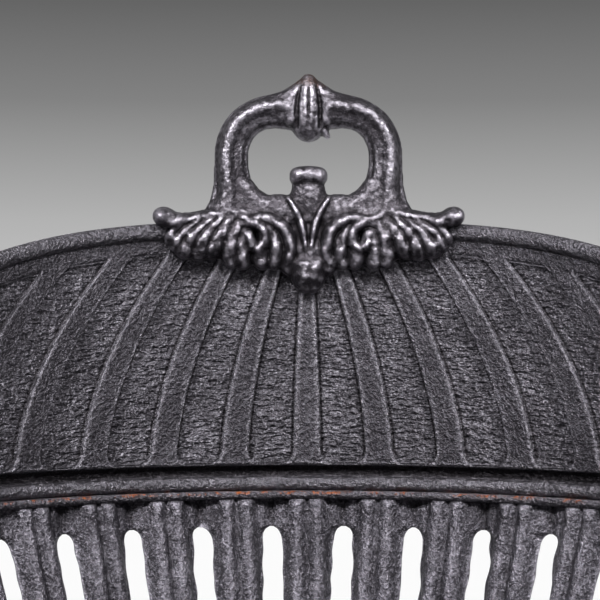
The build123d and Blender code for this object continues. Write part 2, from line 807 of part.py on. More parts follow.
# Ash pan runners: a bent strip each side, with a lip that carries the pan
lip_z = leg_height - runner_drop
for name, hand in (("left", -1), ("right", 1)):
    with BuildPart() as runner:
        runner_end = Plane(
            origin=(0, runner_front_y - runner_overhang, 0), x_dir=(1, 0, 0), z_dir=(0, -1, 0)
        )
        with BuildSketch(runner_end):
            Polygon(
                (hand * (runner_x + runner_flange), leg_height),
                (hand * runner_x, leg_height),
                (hand * runner_x, lip_z + runner_thickness),
                (hand * (runner_x - runner_lip), lip_z + runner_thickness),
                (hand * (runner_x - runner_lip), lip_z),
                (hand * (runner_x + runner_thickness), lip_z),
                (hand * (runner_x + runner_thickness), leg_height - runner_thickness),
                (hand * (runner_x + runner_flange), leg_height - runner_thickness),
                align=None,
            )
        extrude(amount=-(runner_back_y - runner_front_y + 2 * runner_overhang))
        for y in (runner_front_y, runner_back_y):
            with BuildSketch(Plane(origin=(hand * runner_screw_x, y, leg_height))):
                Circle(screw_radius + hole_clearance)
            extrude(amount=-runner_thickness, mode=Mode.SUBTRACT)
    runner.part.label = "pan_runner_" + name
    export_step(runner.part, "parts/pan_runner_" + name + ".step")
with BuildPart() as runner_nuts:
    for place in rear_screws[2:] + front_screws[2:]:
        with BuildSketch(Plane(origin=(place.X, place.Y, leg_height - runner_thickness))):
            Rectangle(small_nut, small_nut)
            Circle(screw_radius + thread_clearance, mode=Mode.SUBTRACT)
        extrude(amount=-small_nut_height)
runner_nuts.part.label = "runner_nuts"
export_step(runner_nuts.part, "parts/runner_nuts.step")

# Ash pan: folded sheet with a flange along each side
pan_top_z = lip_z + runner_thickness + slide_gap + sheet
pan_front_y = axis_y - pan_front_place
pan_middle_y = pan_front_y + pan_length / 2
with BuildPart() as ash_pan:
    with BuildSketch(Plane(origin=(0, pan_middle_y, pan_top_z))):
        Rectangle(2 * pan_half_width, pan_length)
    extrude(amount=-pan_depth)
    with BuildSketch(Plane(origin=(0, pan_middle_y, pan_top_z))):
        Rectangle(2 * (pan_half_width + pan_flange), pan_length)
    extrude(amount=-sheet)
    with BuildSketch(Plane(origin=(0, pan_middle_y, pan_top_z))):
        Rectangle(2 * (pan_half_width - sheet), pan_length - 2 * sheet)
    extrude(amount=sheet - pan_depth, mode=Mode.SUBTRACT)
    knob_z = pan_top_z - pan_depth / 2
    pan_face = Plane(origin=(0, pan_front_y, knob_z), x_dir=(1, 0, 0), z_dir=(0, -1, 0))
    with BuildSketch(pan_face):
        Circle(screw_radius + hole_clearance)
    extrude(amount=-2 * sheet, mode=Mode.SUBTRACT)
ash_pan.part.label = "ash_pan"
export_step(ash_pan.part, "parts/ash_pan.step")

# The pan's pull knob, with its stud and nut
with BuildPart() as pan_knob:
    with BuildSketch(pan_face):
        Circle(knob_collar_radius)
    extrude(amount=sheet)
    with BuildSketch(pan_face):
        Circle(knob_neck_radius)
    extrude(amount=knob_length - knob_radius)
    with Locations((0, pan_front_y - knob_length + knob_radius, knob_z)):
        Sphere(knob_radius)
    with BuildSketch(pan_face):
        Circle(screw_radius)
    extrude(amount=-(sheet + small_nut_height + bolt_tail))
pan_knob.part.label = "pan_knob"
export_step(pan_knob.part, "parts/pan_knob.step")
with BuildPart() as knob_nut:
    with BuildSketch(Plane(origin=(0, pan_front_y + sheet, knob_z), x_dir=(1, 0, 0), z_dir=(0, 1, 0))):
        Rectangle(small_nut, small_nut)
        Circle(screw_radius + thread_clearance, mode=Mode.SUBTRACT)
    extrude(amount=small_nut_height)
knob_nut.part.label = "knob_nut"
export_step(knob_nut.part, "parts/knob_nut.step")
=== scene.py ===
# %% [markdown]
# # A cast-iron fire basket
# The basket is a stack of dry-fitted sand castings: a slotted bowl on four legs, and on
# its back a half-round shell with raised fan ribs and a leaf crest that carries a loop.
# The measured solids come first, as a frame that never moves. Every casting modelled here
# sits in that frame, in metres, and takes the place of one solid, which is hidden.

# %% The frame
import math

import bmesh
import bpy
import numpy as np
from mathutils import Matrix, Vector, noise


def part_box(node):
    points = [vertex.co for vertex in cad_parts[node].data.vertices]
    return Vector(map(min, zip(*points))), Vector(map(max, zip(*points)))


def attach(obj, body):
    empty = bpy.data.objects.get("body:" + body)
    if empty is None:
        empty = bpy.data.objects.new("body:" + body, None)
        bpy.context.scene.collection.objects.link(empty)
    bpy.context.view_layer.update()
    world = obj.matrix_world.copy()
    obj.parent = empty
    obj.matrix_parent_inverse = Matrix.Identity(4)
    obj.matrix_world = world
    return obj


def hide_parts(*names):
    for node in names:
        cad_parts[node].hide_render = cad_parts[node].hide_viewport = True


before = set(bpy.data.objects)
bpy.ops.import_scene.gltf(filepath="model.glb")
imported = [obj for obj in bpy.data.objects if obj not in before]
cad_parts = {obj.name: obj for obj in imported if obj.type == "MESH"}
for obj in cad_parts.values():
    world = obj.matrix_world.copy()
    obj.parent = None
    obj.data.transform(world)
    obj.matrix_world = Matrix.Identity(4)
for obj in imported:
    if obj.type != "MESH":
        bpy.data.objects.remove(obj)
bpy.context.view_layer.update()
MM = 0.001
print("solids", len(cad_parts))

# %% [markdown]
# ## Measures
# The plan is a half circle at the back, so most places are a bearing round one upright
# axis and a height above the joint between the two big castings. Levels that a solid
# already holds are read from its box.

# %% Measures of the two half-round castings
grate_low, grate_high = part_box("rear_grate")
joint = grate_high.z
floor_of_bowl = grate_low.z
axis_y = -51.5 * MM
shell_radius = 190 * MM
shell_thickness = 6.5 * MM
rim_top = 131 * MM
rim_end = 24 * MM
rim_power = 2.75
bead_radius = 4.2 * MM
rim_border = 7 * MM
rail_radius = 3.2 * MM
cove_height = 6 * MM
fan_base = 2 * rail_radius + cove_height
taper = math.tan(math.radians(20))
wall = 5 * MM
merge_distance = 0.01 * MM
print("joint at", round(joint / MM), "mm, axis at", round(axis_y / MM, 1))


def at_bearing(bearing, radius, height):
    """Points at bearings in degrees from straight back, as rows of x, y, z."""
    turn = np.radians(bearing)
    x = radius * np.sin(turn)
    y = axis_y + radius * np.cos(turn)
    return np.stack(np.broadcast_arrays(x, y, height), -1)


def rim_height(bearing):
    """Top of the rim above the joint."""
    fall = (np.abs(bearing) / 90) ** rim_power
    return rim_end + (rim_top - rim_end) * (1 - fall)


# %% [markdown]
# ## One kind of mesh for both walls
# A cast wall is a sheet with a front, a back and perhaps slots. A grid operator makes the
# sheet flat, faces over a slot are deleted, one extrude gives it a back, and then each
# point is sent to its place on the curve. Because the columns of the grid follow the ribs
# and bars, their edges stay crisp and even.

# %% Sheets, lathed rings and joining
def smoothstep(value):
    """0 below 0, 1 above 1, with a soft ramp between."""
    value = np.clip(value, 0, 1)
    return value * value * (3 - 2 * value)


def wobble(points, size, strength, seed=0.0):
    """Smooth random numbers at points, for the unevenness of a sand mould."""
    offset = Vector((seed, seed * 1.7, seed * 0.3))
    values = [noise.noise(Vector(point) / size + offset) for point in points]
    return strength * np.array(values)


def cast_sheet(columns, rows, front, back, hole=None):
    """A closed bmesh from a grid: front and back give places for grid places 0 to 1."""
    bm = bmesh.new()
    bmesh.ops.create_grid(bm, x_segments=columns, y_segments=rows, size=0.5)
    if hole is not None:
        middles = np.array([face.calc_center_median() for face in bm.faces]) + 0.5
        gone = hole(middles[:, 0], middles[:, 1])
        faces = [face for face, cut in zip(list(bm.faces), gone) if cut]
        bmesh.ops.delete(bm, geom=faces, context="FACES")
    made = bmesh.ops.extrude_face_region(bm, geom=list(bm.faces))
    behind = {item for item in made["geom"] if isinstance(item, bmesh.types.BMVert)}
    for verts, place in (([v for v in bm.verts if v not in behind], front), (list(behind), back)):
        flat = np.array([v.co for v in verts]) + 0.5
        for vert, co in zip(verts, place(flat[:, 0], flat[:, 1])):
            vert.co = co
    bmesh.ops.recalc_face_normals(bm, faces=bm.faces)
    return bm


def lathe(profile, degrees=180, steps=120, start=90):
    """Spin a closed outline of (radius, height) points part of the way round the axis."""
    bm = bmesh.new()
    verts = [bm.verts.new(at_bearing(start, radius, height)) for radius, height in profile]
    edges = [bm.edges.new((verts[i - 1], verts[i])) for i in range(len(verts))]
    bmesh.ops.spin(bm, geom=verts + edges, cent=(0, axis_y, 0), axis=(0, 0, 1),
                   angle=math.radians(degrees), steps=steps)
    bmesh.ops.remove_doubles(bm, verts=bm.verts, dist=merge_distance)
    bmesh.ops.holes_fill(bm, edges=[edge for edge in bm.edges if edge.is_boundary])
    bmesh.ops.recalc_face_normals(bm, faces=bm.faces)
    return bm


def finish_piece(name, parts, replaced, body="basket"):
    """Join bmeshes into one object that rides on a body and replaces its solid."""
    mesh = bpy.data.meshes.new(name)
    whole = bmesh.new()
    for part in parts:
        part.to_mesh(mesh)
        whole.from_mesh(mesh)
        part.free()
    whole.to_mesh(mesh)
    whole.free()
    piece = bpy.data.objects.new(name, mesh)
    bpy.context.scene.collection.objects.link(piece)
    mesh.shade_smooth()
    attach(piece, body)
    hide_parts(replaced)
    print(name, "triangles", sum(len(p.vertices) - 2 for p in mesh.polygons))
    return piece


# %% [markdown]
# ## The shell's fan
# Seventeen ribs rise from the foot, lean together and narrow, as in a scallop. The sunk
# panels between them are round at the foot and end at the plain border under the rim. A
# column of the grid stands at a share of the way between two ribs, plus a small fixed
# distance beside a rib's edge, so that the edge stays crisp along the whole rib.

# %% Fan of ribs and panels
rib_pitch = 10.6
rib_reach = 8
rib_width = 13 * MM
rib_length = 132.6 * MM
end_bearing = 89.6
degree = shell_radius * math.radians(1)
rib_share = rib_width / (shell_radius * math.radians(rib_pitch))
rib_edge = rib_share / 2
panel_depth = 2.9 * MM
edge_softness = 0.85 * MM
panel_base = fan_base + 0.4 * MM
panel_top_drop = 2 * bead_radius + rim_border
foot_corner = 6.5 * MM
top_corner = 2.6 * MM
edge_offsets = np.array([-0.4, 0.0, 0.35, 0.75]) * MM
edge_room = 1.3 * MM
rib_marks = [(share * rib_edge, 0.0) for share in (0, 0.4, 0.8)]
edge_marks = [(rib_edge, offset) for offset in edge_offsets]
panel_shares = 0.5 - 0.5 * np.cos(np.linspace(0, math.pi, 11))
panel_marks = [
    (rib_edge + share * (1 - rib_share), (1 - 2 * share) * edge_room) for share in panel_shares
]
left_marks = rib_marks + edge_marks
right_marks = [(1 - share, -offset) for share, offset in left_marks[:0:-1]]
pitch_share, pitch_offset = np.array(left_marks + panel_marks + right_marks).T
marks_per_pitch = len(pitch_share)
fan_columns = 2 * (rib_reach + 1) * marks_per_pitch
fan_rows = 98
print("fan grid", fan_columns, "by", fan_rows)

# %% [markdown]
# ## The face of the fan
# The ribs lean more the higher they are, and the outer ones lean sooner. A grid place
# first finds its height under the rim by a few rounds of trial, since the rim's height
# changes with the bearing and the bearing with the height.

# %% Relief and faces of the fan
def rib_bearing(index, height):
    """Bearing of a rib's middle; ribs past the last one stand at the shell's ends."""
    size = np.maximum(np.abs(index), 1)
    climb = np.maximum(height - fan_base, 0) / (rib_length * size**0.24)
    bearing = rib_pitch * index * (1 - climb**1.7)
    return np.where(np.abs(index) > rib_reach, np.sign(index) * end_bearing, bearing)


def fan_bearing(column, height):
    """Bearing of a grid column at a height."""
    index, mark = np.divmod(column, marks_per_pitch)
    index = index - (rib_reach + 1)
    left = rib_bearing(index, height)
    right = rib_bearing(index + 1, height)
    width = (right - left) * degree
    offset = pitch_offset[mark] * np.minimum(1, width * (1 - rib_share) / (3 * edge_room))
    return left + (pitch_share[mark] * width + offset) / degree


def panel_relief(bearing, height):
    """How far the face is sunk there: 0 on the ribs, panel_depth on a panel's floor."""
    sunk = np.zeros_like(bearing)
    for index in range(-rib_reach, rib_reach):
        first, last = rib_bearing(index, height), rib_bearing(index + 1, height)
        inset = rib_edge * (last - first)
        left = (bearing - first - inset) * degree
        right = (last - inset - bearing) * degree
        side = np.minimum(left, right)
        below = height - panel_base
        above = (rim_height(bearing) - panel_top_drop - height) * 0.94
        round_foot = np.hypot(np.maximum(foot_corner - side, 0), np.maximum(foot_corner - below, 0))
        round_top = np.hypot(np.maximum(top_corner - side, 0), np.maximum(top_corner - above, 0))
        inside = np.minimum(np.minimum(side, below), above)
        in_foot = (side < foot_corner) & (below < foot_corner)
        in_top = (side < top_corner) & (above < top_corner)
        inside = np.where(in_foot, foot_corner - round_foot, inside)
        inside = np.where(in_top, top_corner - round_top, inside)
        sunk = np.maximum(sunk, smoothstep(inside / edge_softness + 0.35))
    return panel_depth * sunk


def fan_place(across, up):
    """Bearing and height of grid places on the fan."""
    column = np.rint(across * fan_columns).astype(int)
    height = np.full(across.shape, fan_base)
    for _ in range(12):
        bearing = fan_bearing(column, height)
        top = rim_height(bearing) - bead_radius
        height = fan_base + up * (top - fan_base)
    return fan_bearing(column, height), height


def fan_front(across, up):
    bearing, height = fan_place(across, up)
    flat = at_bearing(bearing, shell_radius, joint + height)
    relief = panel_relief(bearing, height)
    sunk = relief / panel_depth
    rough = wobble(flat, 7 * MM, 0.16 * MM) * (0.5 + sunk)
    chatter = wobble(flat * (1, 1, 2.4), 5.5 * MM, 0.42 * MM, 3.0) * sunk
    return at_bearing(bearing, shell_radius + relief + rough + chatter, joint + height)


def fan_back(across, up):
    bearing, height = fan_place(across, up)
    flat = at_bearing(bearing, shell_radius + shell_thickness, joint + height)
    rough = wobble(flat, 8 * MM, 0.2 * MM, 5.0)
    return at_bearing(bearing, shell_radius + shell_thickness - 0.2 * MM + rough, joint + height)


fan = cast_sheet(fan_columns, fan_rows, fan_front, fan_back)
print("fan points", len(fan.verts))

# %% [markdown]
# ## Outlines to spin and curves to thicken
# The foot is the same all the way round, so its outline is spun through a half turn. The
# rim bead follows the arch, so it is a curve with a round section, made a mesh.

# %% Outlines and tubes
foot_depth = 8.8 * MM
foot_overlap = 0.2 * MM
rail_proud = 1.2 * MM
cove_depth = 3.4 * MM


def arc_points(centre_radius, centre_height, radius, first, last, count):
    """Points of an arc in the section plane, between two angles in degrees."""
    turns = np.radians(np.linspace(first, last, count))
    return [
        (centre_radius + radius * math.cos(turn), centre_height + radius * math.sin(turn))
        for turn in turns
    ]


def shell_foot():
    """The foot's closed outline: flat under, round rail inside, cove above it."""
    back = shell_radius + foot_depth
    face = shell_radius + foot_overlap
    rail = arc_points(shell_radius - rail_proud, joint + rail_radius, rail_radius, 270, 90, 12)
    cove_centre = joint + 2 * rail_radius + cove_height / 2
    cove = [
        (face + cove_depth * math.cos(turn), cove_centre + cove_height / 2 * math.sin(turn))
        for turn in np.radians(np.linspace(-88, 88, 9))
    ]
    over = [
        (face, joint + fan_base + foot_overlap),
        (shell_radius + shell_thickness, joint + fan_base + 2 * foot_overlap),
        (back, joint + 2 * rail_radius),
        (back, joint),
    ]
    return rail + cove + over


def tube(points, radii, sides=20):
    """A closed tube along a smooth curve through points, with a radius at each."""
    curve = bpy.data.curves.new("tube", "CURVE")
    curve.dimensions = "3D"
    curve.bevel_depth = 1.0
    curve.bevel_resolution = sides // 4 - 1
    curve.use_fill_caps = True
    spline = curve.splines.new("POLY")
    spline.points.add(len(points) - 1)
    for point, place, radius in zip(spline.points, points, radii):
        point.co = (*place, 1)
        point.radius = radius
    holder = bpy.data.objects.new("tube", curve)
    mesh = bpy.data.meshes.new_from_object(holder)
    bm = bmesh.new()
    bm.from_mesh(mesh)
    bmesh.ops.remove_doubles(bm, verts=bm.verts, dist=merge_distance)
    bmesh.ops.recalc_face_normals(bm, faces=bm.faces)
    bpy.data.objects.remove(holder)
    bpy.data.curves.remove(curve)
    bpy.data.meshes.remove(mesh)
    return bm


# %% [markdown]
# ## Rim, end posts and foot
# Each end of the shell is a round post whose top is domed. The rail is handled and
# knocked, so its points are pushed in and out a little along their normals.

# %% The whole shell
bead_set_back = 1 * MM
bead_fit = 0.985
post_bearing = 88.2
post_radius = 5.9 * MM
post_dome = 6 * MM
post_rise = 5.4 * MM
rail_grain = 3.2 * MM
rail_roughness = 0.55 * MM

rim_bearings = np.linspace(-87.5, 87.5, 141)
rim_levels = joint + rim_height(rim_bearings) - bead_radius
rim_line = at_bearing(rim_bearings, shell_radius + bead_set_back, rim_levels)
rim_bead = tube(rim_line, [bead_radius * bead_fit] * len(rim_line))
end_posts = []
for hand in (-1, 1):
    post = at_bearing(hand * post_bearing, shell_radius + shell_thickness / 2, joint)
    levels = np.linspace(0, rim_end + post_rise, 16)
    swell = np.sqrt(np.clip((rim_end + post_radius - levels) / post_dome, 0.02, 1))
    end_posts.append(tube([post + (0, 0, level) for level in levels], post_radius * swell))
foot = lathe(shell_foot(), steps=300)
foot.normal_update()
rough = wobble([vert.co for vert in foot.verts], rail_grain, rail_roughness, 6.0)
for vert, shift in zip(foot.verts, rough):
    if joint + 0.5 * MM < vert.co.z < joint + 2 * rail_radius + 1 * MM:
        vert.co += vert.normal * shift
shell = finish_piece("shell_casting", [fan, foot, rim_bead, *end_posts], "shell_back")

# %% [markdown]
# ## The slotted back
# Each bar of the lower casting carries two round reeds on its inner side, one pair under
# each rib of the fan. The slots between the bars have round tops. The sheet's columns
# follow the slot's edge, so its round top comes from the columns drawing together.

# %% Slotted wall with doubled reeds
slot_half = 4.75 * MM
slot_top = joint - 17 * MM
slot_foot = floor_of_bowl + 22 * MM
slot_dome = slot_half * 1.3
reed_split = 4.75 * MM
reed_half = 5.4 * MM
reed_height = 4.2 * MM
bar_marks = np.linspace(0, 1, 13)
gap_marks = np.array([0.4, 1.0, 1.6])
marks_per_bar = 2 * len(bar_marks) - 1 + len(gap_marks)
wall_rows = 84
wall_top = joint - 4 * MM
wall_foot = floor_of_bowl + 8 * MM
print("wall grid", 2 * rib_reach * marks_per_bar, "by", wall_rows)


def bowl_radius(height):
    """Inner face of the wall at a height above the floor."""
    return shell_radius - (joint - height) * taper


def slot_width(height):
    """Half width of a slot at a height, drawn in at its two round ends."""
    top = np.clip((height - (slot_top - slot_dome)) / slot_dome, 0, 1)
    low = np.clip((slot_foot + slot_half - height) / slot_half, 0, 1)
    end = np.sqrt(np.clip(1 - np.maximum(top, low) ** 2, 0, 1))
    return slot_half * np.maximum(end, 0.12)


def bar_layout(mark, half_pitch, slot):
    """Signed distance from the middle of a bar, for columns from bar middle to bar middle."""
    step = mark % marks_per_bar
    half_bar = half_pitch - slot
    count = len(bar_marks)
    gap_end = count + len(gap_marks)
    this_bar = bar_marks[np.clip(step, 0, count - 1)] * half_bar
    gap = half_bar + slot * gap_marks[np.clip(step - count, 0, len(gap_marks) - 1)]
    next_bar = 2 * half_pitch - bar_marks[::-1][np.clip(step - gap_end, 0, count - 1)] * half_bar
    return np.where(step < count, this_bar, np.where(step < gap_end, gap, next_bar))


def reed_shape(distance):
    """Height of the two reeds at a distance from the middle of their bar."""
    away = np.abs(np.abs(distance) - reed_split) / reed_half
    return reed_height * np.cos(np.clip(away, 0, 1) * math.pi / 2) ** 0.9


def wall_point(across, up, front):
    """Place of the rear wall's grid points on its inner or outer face."""
    mark = np.rint(across * 2 * rib_reach * marks_per_bar).astype(int)
    height = wall_foot + up * (wall_top - wall_foot)
    radius = bowl_radius(height)
    half_pitch = radius * math.radians(rib_pitch) / 2
    ragged = wobble(np.stack([mark * 0.004, 0 * height, height], -1), 9 * MM, 1.2 * MM, 2.0)
    slot = slot_width(height) + ragged * (height < slot_top)
    along = bar_layout(mark, half_pitch, slot)
    bearing = (mark // marks_per_bar - rib_reach) * rib_pitch + np.degrees(along / radius)
    from_bar = np.minimum(along, 2 * half_pitch - along)
    to_slot = half_pitch - slot - from_bar
    if front:
        flat = at_bearing(bearing, radius, height)
        proud = reed_shape(from_bar) + wobble(flat, 6 * MM, 0.45 * MM, 9.0)
        proud *= 1 + 0.35 * smoothstep((height - wall_top + 9 * MM) / (8 * MM))
        fall = 2.8 * MM * (1 - smoothstep(to_slot / (3.6 * MM)))
        return at_bearing(bearing, radius - proud + fall, height)
    shrink = 1.2 * MM * (1 - smoothstep(to_slot / (2 * MM)))
    return at_bearing(bearing, radius + wall - shrink, height)


def in_slot(across, up):
    """True for grid faces that lie in a slot."""
    mark = np.floor(across * 2 * rib_reach * marks_per_bar).astype(int) % marks_per_bar
    height = wall_foot + up * (wall_top - wall_foot)
    count = len(bar_marks)
    in_gap = (mark >= count - 1) & (mark < count + len(gap_marks))
    return in_gap & (height < slot_top) & (height > slot_foot)


rear_wall = cast_sheet(
    2 * rib_reach * marks_per_bar,
    wall_rows,
    lambda across, up: wall_point(across, up, True),
    lambda across, up: wall_point(across, up, False),
    in_slot,
)
print("wall points", len(rear_wall.verts))


# %% [markdown]
# ## The ledge, the flange and the side lugs
# Under the joint a thin flange carries the shell, and at the foot a ledge carries the
# loose bottom plate. Both are spun from small outlines. The lugs at the two ends are where
# the front bolts on, and they follow the lean of the wall.

# %% Rings and lugs of the lower casting
flange_edge = shell_radius + 12.9 * MM
flange_under = joint - 4 * MM
flange_top = joint - 0.15 * MM
flange_outline = [
    (shell_radius - 5.2 * MM, flange_under),
    (flange_edge - 0.7 * MM, flange_under),
    (flange_edge, flange_under + 0.7 * MM),
    (flange_edge, flange_top - 0.75 * MM),
    (flange_edge - 0.7 * MM, flange_top),
    (shell_radius - 4.8 * MM, flange_top),
    (shell_radius - 5.7 * MM, flange_top - 0.75 * MM),
]
ledge_inner = bowl_radius(floor_of_bowl) - 12 * MM
ledge_top = floor_of_bowl + 8 * MM
ledge_round = 0.8 * MM
wall_start = floor_of_bowl + 9 * MM
ledge_outline = [
    (ledge_inner, floor_of_bowl + ledge_round),
    (ledge_inner + ledge_round, floor_of_bowl),
    (bowl_radius(floor_of_bowl) + wall - 1 * MM, floor_of_bowl),
    (bowl_radius(wall_start) + wall, wall_start),
    (bowl_radius(wall_start), wall_start),
    (bowl_radius(ledge_top) - 1 * MM, ledge_top),
    (ledge_inner + ledge_round, ledge_top),
    (ledge_inner, ledge_top - ledge_round),
]
end_outline = [
    (bowl_radius(wall_foot), wall_foot),
    (bowl_radius(wall_foot) + wall, wall_foot),
    (bowl_radius(wall_top) + wall, wall_top),
    (bowl_radius(wall_top), wall_top),
]
lug_top = floor_of_bowl + 80 * MM
lug_reach = 15 * MM
lug_depth = 6 * MM


def side_lug(hand):
    """A leaning flat lug with softened edges."""
    bm = bmesh.new()
    bmesh.ops.create_cube(bm, size=1)
    for vert in bm.verts:
        high = vert.co.z > 0
        level = lug_top if high else floor_of_bowl
        reach = wall + lug_reach if vert.co.x > 0 else 1 * MM
        depth = lug_depth if vert.co.y > 0 else 0
        vert.co = (bowl_radius(level) + reach, axis_y + depth, level)
    bmesh.ops.bevel(bm, geom=list(bm.edges), offset=1.2 * MM, offset_type="OFFSET", segments=3,
                    profile=0.5, affect="EDGES", material=-1)
    if hand < 0:
        bmesh.ops.scale(bm, vec=(-1, 1, 1), verts=bm.verts)
    bmesh.ops.recalc_face_normals(bm, faces=bm.faces)
    return bm


end_turn = 90 - rib_reach * rib_pitch
rear_parts = [
    rear_wall,
    lathe(flange_outline),
    lathe(ledge_outline),
    lathe(end_outline, degrees=end_turn, steps=4),
    lathe(end_outline, degrees=end_turn, steps=4, start=-rib_reach * rib_pitch),
    side_lug(-1),
    side_lug(1),
]
grate = finish_piece("rear_casting", rear_parts, "rear_grate")

# %% [markdown]
# ## The crest as folds of a leaf
# The carver built the leaf from rounded folds that fan out and droop over the rim. Each
# fold is a stroke: a smooth line of places with a half width and a height, round across.
# A point's relief is the highest stroke over it, softly joined, so the grooves between
# folds come by themselves. The handle and its boss are strokes too, thick on both sides.

# %% Strokes that make a relief
def smooth_line(places, steps=9):
    """Rows of x, z, half width, height along a smooth line through the given rows."""
    rows = np.array(places, float)
    ends = np.vstack([2 * rows[0] - rows[1], rows, 2 * rows[-1] - rows[-2]])
    line = []
    for first in range(len(rows) - 1):
        a, b, c, d = ends[first : first + 4]
        for t in np.linspace(0, 1, steps, endpoint=False):
            line.append(
                0.5 * (2 * b + (c - a) * t + (2 * a - 5 * b + 4 * c - d) * t**2
                       + (3 * b - a - 3 * c + d) * t**3)
            )
    line.append(rows[-1])
    return np.array(line)


def soft_max(a, b, blend):
    """The larger of two reliefs, joined by a small fillet."""
    near = np.maximum(blend - np.abs(a - b), 0) / blend
    both = np.clip(np.minimum(a, b) / blend, 0, 1)
    return np.maximum(a, b) + both * near * near * blend / 4


def stroke_relief(x, z, places, groove=0.0):
    """Relief of one stroke; groove cuts a fine line inside both of its edges."""
    line = smooth_line(places)
    relief = np.zeros_like(x)
    for start, stop in zip(line[:-1], line[1:]):
        run = stop[:2] - start[:2]
        length2 = max(run @ run, 1e-9)
        t = np.clip(((x - start[0]) * run[0] + (z - start[1]) * run[1]) / length2, 0, 1)
        width = start[2] + t * (stop[2] - start[2])
        height = start[3] + t * (stop[3] - start[3])
        away = np.hypot(x - start[0] - t * run[0], z - start[1] - t * run[1]) / width
        dome = np.sqrt(np.clip(1 - away**2, 0, 1))
        dome -= groove * np.exp(-(((away - 0.76) / 0.08) ** 2)) * (away < 1)
        relief = np.maximum(relief, height * dome)
    return relief


# %% [markdown]
# ## Where the folds run
# Places are in millimetres: across from the middle of the crest, then up from the joint
# between the castings. One half is given, and the other is its mirror image.

# %% Folds of the right half of the leaf
outer_folds = [
    [(37, 131, 4.6, 8), (42, 125.5, 6.4, 10), (46, 119.8, 6.8, 9.4), (47.6, 117.4, 6.0, 7.4)],
    [(42, 130.5, 4.4, 8), (48, 124.5, 6.4, 10), (52, 119.2, 6.8, 9.2), (53, 117, 6.2, 7.2)],
    [(47, 130.5, 4.2, 8), (54, 124.5, 6.0, 9.4), (58, 119.2, 6.2, 8.6), (59.2, 117, 5.6, 6.8)],
    [(52, 130.5, 3.8, 7.6), (59, 125.5, 5.0, 8.6), (62.6, 121, 5.0, 7.8), (63.6, 119, 4.4, 6.2)],
    [(56, 130, 3.4, 7.2), (61.5, 127, 3.6, 8), (65.6, 122.8, 3.4, 7), (66.4, 120.4, 2.8, 5.4)],
]
fold_lines = [
    [(39.5, 131.5, 0.8, 0.8), (45.2, 124, 1.1, 1.2), (48.6, 116.5, 1.1, 0.8), (49.4, 111, 0.8, 0.5)],
    [(44, 131.5, 0.8, 0.8), (51.4, 124, 1.1, 1.1), (55.2, 116.5, 1.1, 0.8), (56, 111, 0.8, 0.5)],
    [(49, 131, 0.8, 0.8), (56.8, 124.5, 1.1, 1.1), (61, 118, 1.1, 0.8), (62.2, 113, 0.8, 0.5)],
    [(54, 130.5, 0.8, 0.8), (60.8, 126, 1.0, 1.0), (65, 120, 1.0, 0.7), (66.4, 116, 0.8, 0.5)],
]
tip_curl = [(50, 131, 5.0, 7.5), (58, 129.6, 4.8, 8.5), (64.5, 130, 4.6, 9.6), (69.8, 132.2, 5.0, 11)]
upper_roll = [(26, 134.5, 4.5, 7.4), (37, 134.2, 4.1, 7.8), (48, 132.6, 3.6, 7.4), (56, 131, 3.6, 7)]
second_lobe = [
    [(33.5, 129, 4.0, 8.5), (36.6, 122.5, 4.8, 9.8), (37.4, 115, 5.0, 8.8), (37, 111.6, 4.4, 6.8)],
    [(30, 126, 3.6, 8), (31.6, 119, 4.4, 9), (32, 112.5, 4.6, 8), (31.8, 110.6, 4.0, 6.4)],
]
curl_hook = [
    (31.4, 129, 3.4, 9.2), (26.4, 129.4, 3.8, 11.2), (21.8, 126.2, 3.8, 11.6),
    (21.2, 120.6, 3.6, 10.6), (24.4, 116.6, 3.4, 9.8),
]
curl_root = [(29, 123.8, 3.8, 10.2), (27.2, 118.4, 4.2, 9.8)]
curl_hollow = [(25.2, 124.4, 1.3, 2.0), (24.6, 121, 1.0, 1.2)]
inner_folds = [
    [(35, 133, 3.2, 8), (29, 130.8, 3.4, 9.8), (22.5, 131.6, 3.8, 10.8), (16, 130, 4.2, 11.6),
     (10.8, 125, 4.0, 11.6), (8.8, 117, 3.8, 10.2), (10, 110.5, 3.4, 7.6)],
    [(19.5, 127, 3.4, 9.6), (15.8, 121.5, 4.2, 10), (15.4, 114.5, 4.4, 9), (16.6, 110.4, 4.0, 6.8)],
    [(23.6, 116, 4.6, 8.6), (22.8, 112.4, 4.8, 7.4), (22.4, 110.8, 4.2, 6)],
]
middle_vein = [(9.6, 141, 1.8, 7.6), (5.6, 134.6, 2.4, 9.6), (2.8, 127, 2.4, 10.4), (1.4, 118, 1.8, 9.8)]
half_leaf = [
    *outer_folds, tip_curl, upper_roll, *second_lobe, curl_hook, curl_root, *inner_folds, middle_vein,
]
leaf_bed = [
    [(-62, 124, 6, 3.4), (-40, 121, 10, 4.4), (-20, 120, 11, 5), (0, 121, 11, 6), (20, 120, 11, 5),
     (40, 121, 10, 4.4), (62, 124, 6, 3.4)],
    [(0, 124, 7, 7), (0, 112, 8.2, 9), (0, 106, 9.0, 10.4), (0, 103, 8.0, 9.4)],
    [(-10.4, 112, 6, 6.5), (-8.6, 108.4, 4.6, 6)],
    [(10.4, 112, 6, 6.5), (8.6, 108.4, 4.6, 6)],
]
print("strokes of half the leaf", len(half_leaf))

# %% [markdown]
# ## Where the handle runs
# The loop is one thick stroke with a fine line inside both edges. Its boss swells like an
# onion at the top, with two flutes between grooves, and ends in a rounded drop below.

